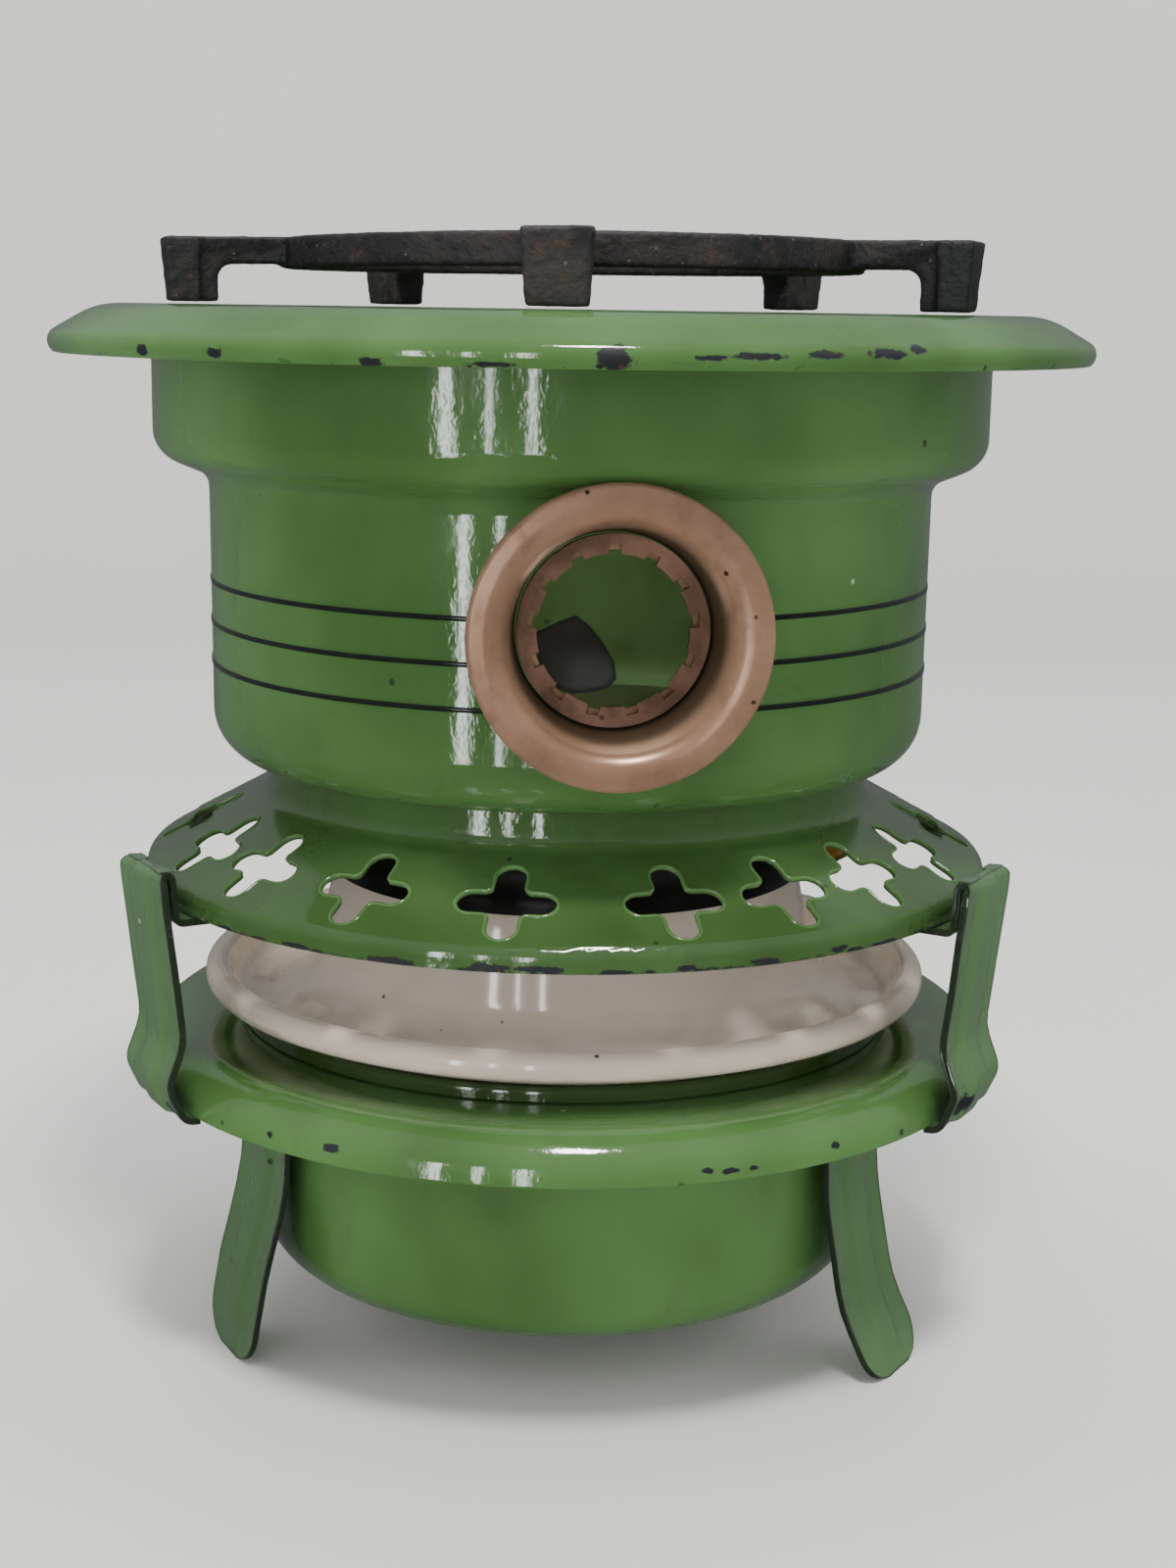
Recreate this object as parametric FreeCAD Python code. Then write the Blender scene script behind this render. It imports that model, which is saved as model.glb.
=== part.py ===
"""Single-burner enamelled kerosene stove: fuel bowl on three legs, white burner deck, mantle and trivet.

Millimetres. The origin is on the table at the centre of the stove, +Z is up, and the sight window is on
the -Y side. Sheet parts are outlines of (radius, height, bend radius) points given a thickness. Heights
are drawn from a datum FLOOR below the table, and every finished piece is lowered by FLOOR.
"""
import FreeCAD
import Part
import math
import os

FLOOR = 1.4

# Sheet thicknesses
SHEET = 0.9
STRIP = 1.2
LEG_STRIP = 1.0
RIB_HEIGHT = 0.8
RIB_WIDTH = 7.0

# Fuel bowl and its brim
BOWL_RADIUS = 57.6
BOWL_BOTTOM = 12.8
BRIM_RADIUS = 79.0
LEDGE_TOP = 58.9
BRIM_BOTTOM = 51.1

# Legs and posts, shared by three stations round the bowl. The old legs are not bent quite alike: each has
# its own knee, as (radius, height), and its own radius where it would cross the datum.
STATIONS = {"right": -30.0, "back": 90.0, "left": 210.0}
KNEES = {"right": (65.0, 14.5), "back": (64.8, 14.5), "left": (65.8, 17.0)}
TOES = {"right": 72.9, "back": 71.6, "left": 69.0}
LEG_WIDTH = 21.0
FOOT_CORNER = 7.0
POST_WIDTH = 20.5
TAB_WIDTH = 16.0
LEG_TURN = -1.5  # the legs stand a little clockwise of the posts
POST_TOP = 94.4
HOOK_TOP = 85.7

# White burner deck
DECK_TOP = 92.0
DECK_HOLE = 22.3
DECK_RIM = 67.4
TROUGH = 62.7

# Burner
COLLAR_EDGE = 86.3
WICK_INNER = 11.4
WICK_OUTER = 13.2
WICK_BOTTOM = 22.0
WICK_TOP = 108.2
WICK_GAP = 40.0
DUCT_AZIMUTH = 240.0
DUCT_RIB_REACH = 12.9
DUCT_RIB_HALF = 3.2
TUBE_WALL = 0.8
TUBE_BOTTOM = 71.0
TUBE_TOP = 108.0
CUP_RADIUS = 21.6
CAGE_TOP = 104.0
CAGE_HOLES = 18

# Wick raiser: a shaft beside the wick, running outwards to the knob
SHAFT_AZIMUTH = 60.0
SHAFT_OFFSET = 16.3
SHAFT_HEIGHT = 80.0
SHAFT_RADIUS = 1.2
SHAFT_FIT = 0.05
SHAFT_START = -7.0
SHAFT_END = 82.0
WHEEL_RADIUS = 3.0
WHEEL_TEETH = 10
BUSHING_START = 37.0
BUSHING_END = 49.0
KNOB_START = 78.6
KNOB_END = 85.0
KNOB_RADIUS = 9.0
KNOB_FLUTES = 16

# Mantle
BELLY_RADIUS = 65.3
BELLY_BOTTOM = 107.2
BAND_RADIUS = 75.0
SHOULDER_OUTER = 162.3
SHOULDER_INNER = 158.3
NECK_RADIUS = 55.6
GALLERY_RADIUS = 77.6
GALLERY_BOTTOM = 86.0
SKIRT_TOP = 101.6
SKIRT_BOTTOM = 89.4

# Air holes: plus shapes, unevenly spaced across the front and evenly round the back
HOLE_RADIUS = 67.7
HOLE_HEIGHT = 94.8
HOLE_LENGTH = 17.2
HOLE_SPAN = 16.5
HOLE_ARM = 5.2
FRONT_HOLES = (-65.0, -49.0, -29.0, -8.0, 15.0, 32.0, 48.0, 65.0)
BACK_HOLES = 10

# Hob plate
PLATE_TOP = 187.8
PLATE_SHEET = 1.0
PLATE_HOLE = 62.5

# Sight window: a porthole that stands proud of the belly, on an axis square to it
WINDOW_AZIMUTH = -83.8
WINDOW_HEIGHT = 138.4
RING_RADIUS = 24.0
RING_BACK = 74.0
RING_SHEET = 0.8
WINDOW_HOLE = 16.9
THROAT_RADIUS = 15.5
THROAT_END = 62.6
CLEAR_RADIUS = 12.2
TABS = 13

# Trivet
FOOT_AZIMUTHS = (-92.0, -19.5, 50.4, 121.6, 193.0)
TRIVET_BOTTOM = 188.0
TRIVET_TOP = 200.4
TRIVET_ARM_BOTTOM = 195.0
TRIVET_RING_BOTTOM = 194.4
TRIVET_RING_OUTER = 52.0
TRIVET_RING_INNER = 45.5
FOOT_OUTER = 73.2
FOOT_INNER = 66.6
WEB_INNER = 63.0
WEB_WIDTH = 6.0

UP = FreeCAD.Vector(0, 0, 1)
ORIGIN = FreeCAD.Vector(0, 0, 0)


# ---------------------------------------------------------------- outlines
def direction(start, end):
    """Unit vector in the outline's plane."""
    length = math.hypot(end[0] - start[0], end[1] - start[1])
    return (end[0] - start[0]) / length, (end[1] - start[1]) / length


def shifted(points, shift):
    """The outline moved to its left by shift; every bend keeps its centre."""
    headings = [direction(a, b) for a, b in zip(points, points[1:])]
    moved = []
    for i, (x, y, bend) in enumerate(points):
        before = headings[max(i - 1, 0)]
        after = headings[min(i, len(headings) - 1)]
        turn = before[0] * after[1] - before[1] * after[0]
        spread = 1 + before[0] * after[0] + before[1] * after[1]
        x -= shift * (before[1] + after[1]) / spread
        y += shift * (before[0] + after[0]) / spread
        if bend:
            bend -= math.copysign(1, turn) * shift
        moved.append((x, y, bend))
    return moved


def flat(x, y):
    """A point of the outline's plane, which is the XZ plane."""
    return FreeCAD.Vector(x, 0, y)


def trace(points):
    """Edges along the outline, with an arc at each bend."""
    edges = []
    last = flat(*points[0][:2])
    for before, corner, after in zip(points, points[1:], points[2:]):
        inward = direction(before, corner)
        outward = direction(corner, after)
        turn = math.atan2(inward[0] * outward[1] - inward[1] * outward[0],
                          inward[0] * outward[0] + inward[1] * outward[1])
        bend = corner[2]
        reach = bend * math.tan(abs(turn) / 2)
        start = flat(corner[0] - inward[0] * reach, corner[1] - inward[1] * reach)
        edges.append(Part.makeLine(last, start))
        last = start
        if bend:
            end = flat(corner[0] + outward[0] * reach, corner[1] + outward[1] * reach)
            peak = flat(*corner[:2])
            middle = (start + end) * 0.5
            towards = peak - middle
            towards.normalize()
            crown = middle + towards * (bend * (1 - math.cos(turn / 2)))
            edges.append(Part.Arc(start, crown, end).toShape())
            last = end
    edges.append(Part.makeLine(last, flat(*points[-1][:2])))
    return edges


def sheet(points, thickness):
    """Face of a sheet that follows the outline, thickened to its left (to its right if negative)."""
    near = trace(points)
    far = trace(shifted(points, thickness))
    ends = [Part.makeLine(near[i].valueAt(near[i].LastParameter if i else near[i].FirstParameter),
                          far[i].valueAt(far[i].LastParameter if i else far[i].FirstParameter))
            for i in (0, -1)]
    return Part.Face(Part.Wire(Part.__sortEdges__(near + far + ends)))


def turned(face):
    """The face turned once round the stove's axis, with its surface facing outwards."""
    solid = face.revolve(ORIGIN, UP, 360)
    if solid.Volume < 0:
        solid.reverse()
    return solid


def tube(outer, inner, bottom, top):
    """Plain tube on the stove's axis."""
    solid = Part.makeCylinder(outer, top - bottom, FreeCAD.Vector(0, 0, bottom))
    return solid.cut(Part.makeCylinder(inner, top - bottom, FreeCAD.Vector(0, 0, bottom)))


def block(x_low, x_high, y_low, y_high, z_low, z_high):
    """Box between two corners."""
    return Part.makeBox(x_high - x_low, y_high - y_low, z_high - z_low,
                        FreeCAD.Vector(x_low, y_low, z_low))


def around(shape, azimuth):
    """Copy of the shape turned about the stove's axis."""
    copy = shape.copy()
    copy.rotate(ORIGIN, UP, azimuth)
    return copy


def prism(points, width):
    """Flat outline of (x, z) points made into a slab, centred on Y = 0."""
    corners = [FreeCAD.Vector(x, -width / 2, z) for x, z in points]
    face = Part.Face(Part.makePolygon(corners + corners[:1]))
    return face.extrude(FreeCAD.Vector(0, width, 0))


def strip(points, thickness, width):
    """Bent strip with its width along Y."""
    solid = sheet(points, thickness).extrude(FreeCAD.Vector(0, width, 0))
    solid.translate(FreeCAD.Vector(0, -width / 2, 0))
    return solid


# ---------------------------------------------------------------- base
def tank_bowl():
    under = LEDGE_TOP - SHEET
    lip = BRIM_RADIUS - SHEET
    points = [(0, BOWL_BOTTOM, 0), (BOWL_RADIUS, BOWL_BOTTOM, 9.0), (BOWL_RADIUS, under, 2.2),
              (lip, under, 6.6), (lip, BRIM_BOTTOM, 0)]
    return turned(sheet(points, SHEET))


def leg(side):
    """Ribbed leg: a tab under the brim, then down and outwards to the table."""
    tab = LEDGE_TOP - SHEET - 0.1 - LEG_STRIP
    shin = [(61.2, 34.0, 40.0), KNEES[side] + (24.0,), (TOES[side], 0, 0)]
    body = strip([(69.0, tab, 0), (60.5, tab, 1.6)] + shin, -LEG_STRIP, LEG_WIDTH)
    rib = strip(shifted([(60.6, 54.0, 0)] + shin, RIB_HEIGHT), -LEG_STRIP, RIB_WIDTH)
    half = LEG_WIDTH / 2
    outline = block(50, 80, -half, half, FLOOR, 60)
    corners = [e for e in outline.Edges
               if abs(e.CenterOfMass.z - FLOOR) < 0.01 and abs(abs(e.CenterOfMass.y) - half) < 0.01]
    outline = outline.makeFillet(FOOT_CORNER, corners)
    return body.fuse(rib).common(outline).removeSplitter()


def post():
    """Ribbed post: hooked round the brim, up and outwards, then folded in to hold the mantle's rim."""
    under = BRIM_BOTTOM - 0.1 - STRIP
    bulge = (83.5, 57.0, 2.6)
    waist = (80.4, 64.6, 4.0)
    shoulder = (83.65, 92.3, 0)
    body = strip([(77.4, under, 0), (80.2, under, 1.9), bulge, waist, shoulder], STRIP, POST_WIDTH)
    fold = strip([(83.4, 90.0, 0), (83.9, POST_TOP, 1.8), (80.1, POST_TOP, 1.8),
                  (79.6, HOOK_TOP, 0.6), (72.0, HOOK_TOP, 0)], STRIP, TAB_WIDTH)
    rib = strip(shifted([(80.9, 51.0, 0), bulge, waist, shoulder], -RIB_HEIGHT), STRIP, RIB_WIDTH)
    return body.fuse([fold, rib]).removeSplitter()


# ---------------------------------------------------------------- burner deck
def wall_hole(radius, start, end):
    """Cylinder along the wick shaft's line, from start to end."""
    azimuth = math.radians(SHAFT_AZIMUTH)
    along = FreeCAD.Vector(math.cos(azimuth), math.sin(azimuth), 0)
    beside = FreeCAD.Vector(math.sin(azimuth), -math.cos(azimuth), 0)
    base = along * start + beside * SHAFT_OFFSET + UP * SHAFT_HEIGHT
    return Part.makeCylinder(radius, end - start, base, along)


def burner_deck():
    points = [(DECK_HOLE, DECK_TOP, 0), (42.5, DECK_TOP, 5.0), (46.9, 67.0, 9.0), (56.0, TROUGH + 0.1, 2.0),
              (61.2, TROUGH, 3.0), (63.4, 69.1, 1.6), (DECK_RIM, 69.1, 2.3), (DECK_RIM, 64.2, 2.0),
              (64.4, 64.2, 0)]
    return turned(sheet(points, -SHEET)).cut(wall_hole(3.3, 35, 52))


def locating_ring():
    """Ring under the deck: it drops into the bowl's mouth and its flange stands on the ledge."""
    top = TROUGH - SHEET - 0.1
    mouth = BOWL_RADIUS - SHEET - 0.4
    points = [(mouth - SHEET, 50.0, 0), (mouth - SHEET, top, 1.0), (61.0, top, 1.2),
              (61.0, LEDGE_TOP + 0.3, 0)]
    return turned(sheet(points, -SHEET))


def burner_collar():
    """Dark cap over the deck's raised middle, with a neck down into its hole."""
    neck = DECK_HOLE - 0.1
    points = [(43.6, COLLAR_EDGE, 0), (42.6, DECK_TOP + 0.1, 5.1), (neck, DECK_TOP + 0.1, 0.2),
              (neck, 86.0, 0)]
    return turned(sheet(points, -0.5))


def burner_cup():
    """Closed cup under the collar that carries the wick tubes and the shaft."""
    hole = WICK_OUTER + 0.2 + TUBE_WALL
    points = [(hole, TUBE_BOTTOM, 0), (CUP_RADIUS, TUBE_BOTTOM, 2.0), (CUP_RADIUS, DECK_TOP + 0.8, 0)]
    return turned(sheet(points, 0.8)).cut(wall_hole(SHAFT_RADIUS + SHAFT_FIT, 0, 30))


def air_cage():
    """Perforated gallery between the cup and the outer wick tube."""
    inner = WICK_OUTER + 0.2 + TUBE_WALL
    points = [(20.4, DECK_TOP + 0.9, 0), (20.4, 99.0, 2.5), (inner + 0.9, CAGE_TOP, 1.0),
              (inner + 0.05, CAGE_TOP, 0)]
    cage = turned(sheet(points, 0.6))
    hole = Part.makeCylinder(1.3, 6, FreeCAD.Vector(17.5, 0, 96.2), FreeCAD.Vector(1, 0, 0))
    pitch = 360.0 / CAGE_HOLES
    return cage.cut([around(hole, i * pitch) for i in range(CAGE_HOLES)])


def duct():
    """Window through the wick tubes, where the wick has its gap."""
    return around(block(8, 16, -2.4, 2.4, 86, 99), DUCT_AZIMUTH)


def wheel_slot():
    """Slot in the outer tube for the spiked wheels."""
    clear = WHEEL_RADIUS + 1.0
    slot = block(10, SHAFT_OFFSET + clear, -5.2, 5.2, SHAFT_HEIGHT - clear, SHAFT_HEIGHT + clear)
    return around(slot, SHAFT_AZIMUTH - 90)


def outer_wick_tube():
    inner = WICK_OUTER + 0.2
    return tube(inner + TUBE_WALL, inner, TUBE_BOTTOM, TUBE_TOP).cut([duct(), wheel_slot()])


def inner_wick_tube():
    """Tube with a closed floor; its rib fills the wick's gap and carries the duct outwards."""
    outer = WICK_INNER - 0.2
    body = tube(outer, outer - TUBE_WALL, TUBE_BOTTOM, TUBE_TOP)
    floor = Part.makeCylinder(outer, TUBE_WALL, FreeCAD.Vector(0, 0, TUBE_BOTTOM))
    rib = block(outer - 0.5, DUCT_RIB_REACH, -DUCT_RIB_HALF, DUCT_RIB_HALF, TUBE_BOTTOM, TUBE_TOP)
    return body.fuse([floor, around(rib, DUCT_AZIMUTH)]).cut(duct()).removeSplitter()


def wick():
    """Woven wick: a sleeve with a lengthwise gap, from the fuel to the burner's mouth."""
    sleeve = tube(WICK_OUTER, WICK_INNER, WICK_BOTTOM, WICK_TOP)
    reach = 2 * WICK_OUTER
    half = math.radians(WICK_GAP / 2)
    corners = [FreeCAD.Vector(0, 0, WICK_BOTTOM),
               FreeCAD.Vector(reach * math.cos(half), -reach * math.sin(half), WICK_BOTTOM),
               FreeCAD.Vector(reach * math.cos(half), reach * math.sin(half), WICK_BOTTOM)]
    wedge = Part.Face(Part.makePolygon(corners + corners[:1]))
    gap = wedge.extrude(UP * (WICK_TOP - WICK_BOTTOM))
    return sleeve.cut(around(gap, DUCT_AZIMUTH))


def flame_spreader():
    """Loose cap on the inner tube: a thimble with a disc that spreads the draught."""
    rest = TUBE_TOP + 0.2
    thimble = WICK_INNER - 0.2 - TUBE_WALL - 0.3
    points = [(thimble, 101.0, 0), (thimble, rest, 0.7), (WICK_INNER - 0.5, rest, 0)]
    rim = turned(sheet(points, 0.6))
    cap = Part.makeCylinder(thimble, 0.6, FreeCAD.Vector(0, 0, rest))
    vent = Part.makeCylinder(0.8, 2, FreeCAD.Vector(thimble * 0.6, 0, rest - 0.5))
    return rim.fuse(cap).cut([around(vent, i * 45.0) for i in range(8)]).removeSplitter()


def wick_shaft():
    return wall_hole(SHAFT_RADIUS, SHAFT_START, SHAFT_END)


def wick_wheels():
    """Pair of spiked wheels on the shaft."""
    tip = WHEEL_RADIUS - 0.1
    step = math.pi / WHEEL_TEETH
    radii = [tip if i % 2 else tip - 0.9 for i in range(2 * WHEEL_TEETH)]
    corners = [FreeCAD.Vector(0, r * math.cos(i * step), r * math.sin(i * step))
               for i, r in enumerate(radii)]
    star = Part.Face(Part.makePolygon(corners + corners[:1])).extrude(FreeCAD.Vector(1.2, 0, 0))
    bore = Part.makeCylinder(SHAFT_RADIUS, 2, FreeCAD.Vector(-0.4, 0, 0), FreeCAD.Vector(1, 0, 0))
    star = star.cut(bore)
    pair = []
    for place in (-4.4, 3.2):
        wheel = star.copy()
        wheel.translate(FreeCAD.Vector(place, -SHAFT_OFFSET, SHAFT_HEIGHT))
        pair.append(around(wheel, SHAFT_AZIMUTH))
    return Part.makeCompound(pair)


def shaft_bushing():
    body = wall_hole(3.2, BUSHING_START, BUSHING_END)
    nut = wall_hole(4.6, BUSHING_END - 3.0, BUSHING_END)
    return body.fuse(nut).cut(wall_hole(SHAFT_RADIUS + SHAFT_FIT, 0, 60)).removeSplitter()


def wick_knob():
    """Fluted knob on the end of the shaft."""
    body = wall_hole(KNOB_RADIUS, KNOB_START, KNOB_END)
    rims = [e for e in body.Edges if e.Length > 2 * KNOB_RADIUS * math.pi - 1]
    body = body.makeFillet(1.0, rims)
    flute = Part.makeCylinder(1.0, 20, FreeCAD.Vector(KNOB_START - 5, -SHAFT_OFFSET, SHAFT_HEIGHT),
                              FreeCAD.Vector(1, 0, 0))
    flutes = []
    for i in range(KNOB_FLUTES):
        angle = 2 * math.pi * i / KNOB_FLUTES
        cutter = flute.copy()
        reach = KNOB_RADIUS + 0.3
        cutter.translate(FreeCAD.Vector(0, reach * math.cos(angle), reach * math.sin(angle)))
        flutes.append(around(cutter, SHAFT_AZIMUTH))
    return body.cut(flutes).cut(wall_hole(SHAFT_RADIUS, 0, SHAFT_END))


# ---------------------------------------------------------------- mantle
def top_plate():
    points = [(PLATE_HOLE, 182.0, 0), (PLATE_HOLE, PLATE_TOP, 2.2), (84.0, PLATE_TOP, 14.0),
              (94.1, 181.9, 2.4), (91.7, 179.5, 0)]
    return turned(sheet(points, -PLATE_SHEET))


def mantle_shell():
    """Band, shoulder and belly in one pressing, with the sight-window hole."""
    points = [(BAND_RADIUS, PLATE_TOP - PLATE_SHEET, 0), (BAND_RADIUS, SHOULDER_OUTER, 6.0),
              (BELLY_RADIUS, SHOULDER_INNER, 3.5), (BELLY_RADIUS - 0.2, BELLY_BOTTOM, 9.2),
              (NECK_RADIUS + 0.1, BELLY_BOTTOM, 0)]
    return turned(sheet(points, -SHEET)).cut(window_cylinder(WINDOW_HOLE, 50, 80))


def plus_hole():
    """Plus-shaped punch with round arm ends, square to the skirt's slope at azimuth 0."""
    slots = []
    for length, turn in ((HOLE_LENGTH, 0.0), (HOLE_SPAN, 90.0)):
        half = (length - HOLE_ARM) / 2
        arm = block(-half, half, -HOLE_ARM / 2, HOLE_ARM / 2, -6, 6)
        ends = [Part.makeCylinder(HOLE_ARM / 2, 12, FreeCAD.Vector(x, 0, -6)) for x in (-half, half)]
        slots.append(around(arm.fuse(ends), turn))
    punch = slots[0].fuse(slots[1]).removeSplitter()
    inner = [e for e in punch.Edges
             if abs(e.CenterOfMass.z) < 0.01 and math.hypot(*e.CenterOfMass[:2]) < HOLE_ARM]
    punch = punch.makeFillet(1.2, inner)
    slope = math.degrees(math.atan2(SKIRT_TOP - SKIRT_BOTTOM, GALLERY_RADIUS - NECK_RADIUS))
    punch.rotate(ORIGIN, FreeCAD.Vector(0, 1, 0), slope)
    punch.translate(FreeCAD.Vector(HOLE_RADIUS, 0, HOLE_HEIGHT))
    return punch


def hole_azimuths():
    """Azimuths of the air holes from the front, towards +X."""
    first, last = FRONT_HOLES[0], FRONT_HOLES[-1]
    pitch = (360 + first - last) / (BACK_HOLES + 1)
    return list(FRONT_HOLES) + [last + pitch * (i + 1) for i in range(BACK_HOLES)]


def air_gallery():
    """Flared skirt with its neck tucked into the belly's mouth."""
    points = [(NECK_RADIUS, 111.0, 0), (NECK_RADIUS, SKIRT_TOP, 3.5), (GALLERY_RADIUS, SKIRT_BOTTOM, 2.6),
              (GALLERY_RADIUS, GALLERY_BOTTOM, 0)]
    punch = plus_hole()
    return turned(sheet(points, -SHEET)).cut([around(punch, a - 90) for a in hole_azimuths()])


# ---------------------------------------------------------------- sight window
def window_place(shape):
    """Shape made about the X axis, carried to the window's axis."""
    shape.rotate(ORIGIN, UP, WINDOW_AZIMUTH)
    shape.translate(UP * WINDOW_HEIGHT)
    return shape


def window_cylinder(radius, start, end):
    return window_place(Part.makeCylinder(radius, end - start, FreeCAD.Vector(start, 0, 0),
                                          FreeCAD.Vector(1, 0, 0)))


def window_ring():
    """Copper bezel: a rolled edge, a domed face and a throat that runs back through the belly's wall."""
    points = [(RING_BACK, RING_RADIUS, 0), (RING_BACK + 1.4, RING_RADIUS, 1.0),
              (RING_BACK + 2.7, 19.2, 3.4), (RING_BACK - 2.0, 16.9, 6.0), (THROAT_END, THROAT_RADIUS, 0)]
    ring = sheet(points, -RING_SHEET).revolve(ORIGIN, FreeCAD.Vector(1, 0, 0), 360)
    return window_place(ring)


def window_band(outer, inner, start, end):
    return window_cylinder(outer, start, end).cut(window_cylinder(inner, start, end))


def pane_retainer():
    """Ring in the throat whose folded tabs hold the pane."""
    ring = window_band(THROAT_RADIUS - 0.1, CLEAR_RADIUS, THROAT_END + 1.8, THROAT_END + 2.4)
    notches = []
    for i in range(TABS):
        notch = block(50, 70, -1.05, 1.05, CLEAR_RADIUS - 3, CLEAR_RADIUS + 1.5)
        notch.rotate(ORIGIN, FreeCAD.Vector(1, 0, 0), i * 360.0 / TABS)
        notches.append(window_place(notch))
    return ring.cut(notches)


def mica_pane():
    return window_cylinder(THROAT_RADIUS - 0.15, THROAT_END + 1.35, THROAT_END + 1.75)


def pane_washer():
    return window_band(THROAT_RADIUS - 0.15, CLEAR_RADIUS + 0.6, THROAT_END + 0.8, THROAT_END + 1.3)


# ---------------------------------------------------------------- trivet
def trivet():
    """Cast ring with five arms that end in tapered feet, each backed by a web."""
    body = tube(TRIVET_RING_OUTER, TRIVET_RING_INNER, TRIVET_RING_BOTTOM, TRIVET_TOP)
    foot = [(-5.0, TRIVET_BOTTOM), (5.0, TRIVET_BOTTOM), (5.85, TRIVET_TOP), (-5.85, TRIVET_TOP)]
    foot = around(prism(foot, FOOT_OUTER - FOOT_INNER), 90)
    foot.translate(FreeCAD.Vector((FOOT_OUTER + FOOT_INNER) / 2, 0, 0))
    start = TRIVET_RING_OUTER - 3
    corners = [FreeCAD.Vector(x, y, TRIVET_ARM_BOTTOM)
               for x, y in ((start, -4), (FOOT_OUTER - 3, -5), (FOOT_OUTER - 3, 5), (start, 4))]
    arm = Part.Face(Part.makePolygon(corners + corners[:1])).extrude(UP * (TRIVET_TOP - TRIVET_ARM_BOTTOM))
    web = block(WEB_INNER, FOOT_INNER + 1, -WEB_WIDTH / 2, WEB_WIDTH / 2,
                TRIVET_BOTTOM, TRIVET_ARM_BOTTOM + 1)
    arm = arm.fuse([foot, web])
    arms = [around(arm, azimuth) for azimuth in FOOT_AZIMUTHS]
    return body.fuse(arms).removeSplitter()


def parts():
    """Every piece of the stove, by name."""
    made = {}
    for build in (tank_bowl, burner_deck, locating_ring, burner_collar, burner_cup, air_cage,
                  outer_wick_tube, inner_wick_tube, wick, flame_spreader, wick_shaft, wick_wheels,
                  shaft_bushing, wick_knob, top_plate, mantle_shell, air_gallery, window_ring,
                  pane_retainer, mica_pane, pane_washer, trivet):
        made[build.__name__] = build()
    for side, azimuth in STATIONS.items():
        made["leg_" + side] = around(leg(side), azimuth + LEG_TURN)
        made["post_" + side] = around(post(), azimuth)
    for shape in made.values():
        shape.translate(UP * -FLOOR)
    return made


def main():
    os.makedirs("parts", exist_ok=True)
    for name, shape in parts().items():
        shape.exportStep(os.path.join("parts", name + ".step"))


main()
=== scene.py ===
"""Looks of the enamelled kerosene stove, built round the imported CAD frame.

Metres, +Z up, window on the -Y side.
"""
import math

import bmesh
import bpy
from mathutils import Matrix, Vector, noise


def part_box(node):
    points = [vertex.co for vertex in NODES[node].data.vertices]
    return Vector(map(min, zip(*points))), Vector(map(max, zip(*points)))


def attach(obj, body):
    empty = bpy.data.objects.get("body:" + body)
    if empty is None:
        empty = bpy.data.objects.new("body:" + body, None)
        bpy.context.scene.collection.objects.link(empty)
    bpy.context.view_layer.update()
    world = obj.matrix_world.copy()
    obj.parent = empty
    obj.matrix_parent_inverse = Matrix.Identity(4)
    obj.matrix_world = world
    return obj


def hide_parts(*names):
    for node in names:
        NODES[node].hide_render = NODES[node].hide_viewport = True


MM = 0.001
UP = Vector((0, 0, 1))

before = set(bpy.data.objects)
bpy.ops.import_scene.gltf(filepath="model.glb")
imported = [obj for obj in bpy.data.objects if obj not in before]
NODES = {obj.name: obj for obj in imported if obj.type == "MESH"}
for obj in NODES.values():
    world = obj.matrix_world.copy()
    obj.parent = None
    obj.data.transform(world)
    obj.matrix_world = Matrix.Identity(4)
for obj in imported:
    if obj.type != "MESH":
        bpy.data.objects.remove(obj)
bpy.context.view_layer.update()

# Heights, radii and thicknesses in millimetres, azimuths in degrees from +X
TRIVET_LOW, TRIVET_HIGH = (corner.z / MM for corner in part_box("trivet"))
FOOT_AZIMUTHS = (-92.0, -19.5, 50.4, 121.6, 193.0)
BELLY_RADIUS = 65.3
LINE_HEIGHTS = (138.4, 131.1, 123.8)
LINE_HALF = 0.4
LINE_GAP = 18.3  # the lines end behind the bezel, this far from its middle
WINDOW_AZIMUTH = -83.8
WINDOW_HEIGHT = sum(corner.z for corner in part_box("window_ring")) / 2 / MM
STATIONS = {"right": -30.0, "back": 90.0, "left": 210.0}  # posts; the legs stand LEG_TURN from them
LEG_TURN = -1.5
LEG_SHEET = 1.0
POST_SHEET = 1.15
MARK_RADIUS = 84.12  # radius at which a chip's length is taken

# Air holes of the skirt, in degrees from the front: the eight in front are seen, the rest are even
FRONT_HOLES = (-65.0, -49.0, -29.0, -8.0, 15.0, 32.0, 48.0, 65.0)
BACK_HOLES = 10


# ---------------------------------------------------------------- shader graphs
def add(tree, kind, inputs=None, **settings):
    """One shader node, with its settings made and its inputs linked or set."""
    node = tree.nodes.new("ShaderNode" + kind)
    for name, value in settings.items():
        setattr(node, name, value)
    for key, value in (inputs or {}).items():
        if isinstance(value, bpy.types.NodeSocket):
            tree.links.new(value, node.inputs[key])
        else:
            node.inputs[key].default_value = value
    return node


def new_material(name):
    material = bpy.data.materials.new(name)
    material.use_nodes = True
    material.node_tree.nodes.clear()
    return material, material.node_tree


def place(tree):
    """The point on the object, in metres."""
    return add(tree, "TexCoord").outputs["Object"]


def calc(tree, operation, *values, clamp=False):
    return add(tree, "Math", dict(enumerate(values)), operation=operation, use_clamp=clamp).outputs[0]


def hypotenuse(tree, first, second):
    """Length of a vector from two components square to each other."""
    return calc(tree, "SQRT", calc(tree, "ADD", calc(tree, "MULTIPLY", first, first),
                                   calc(tree, "MULTIPLY", second, second)))


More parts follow.
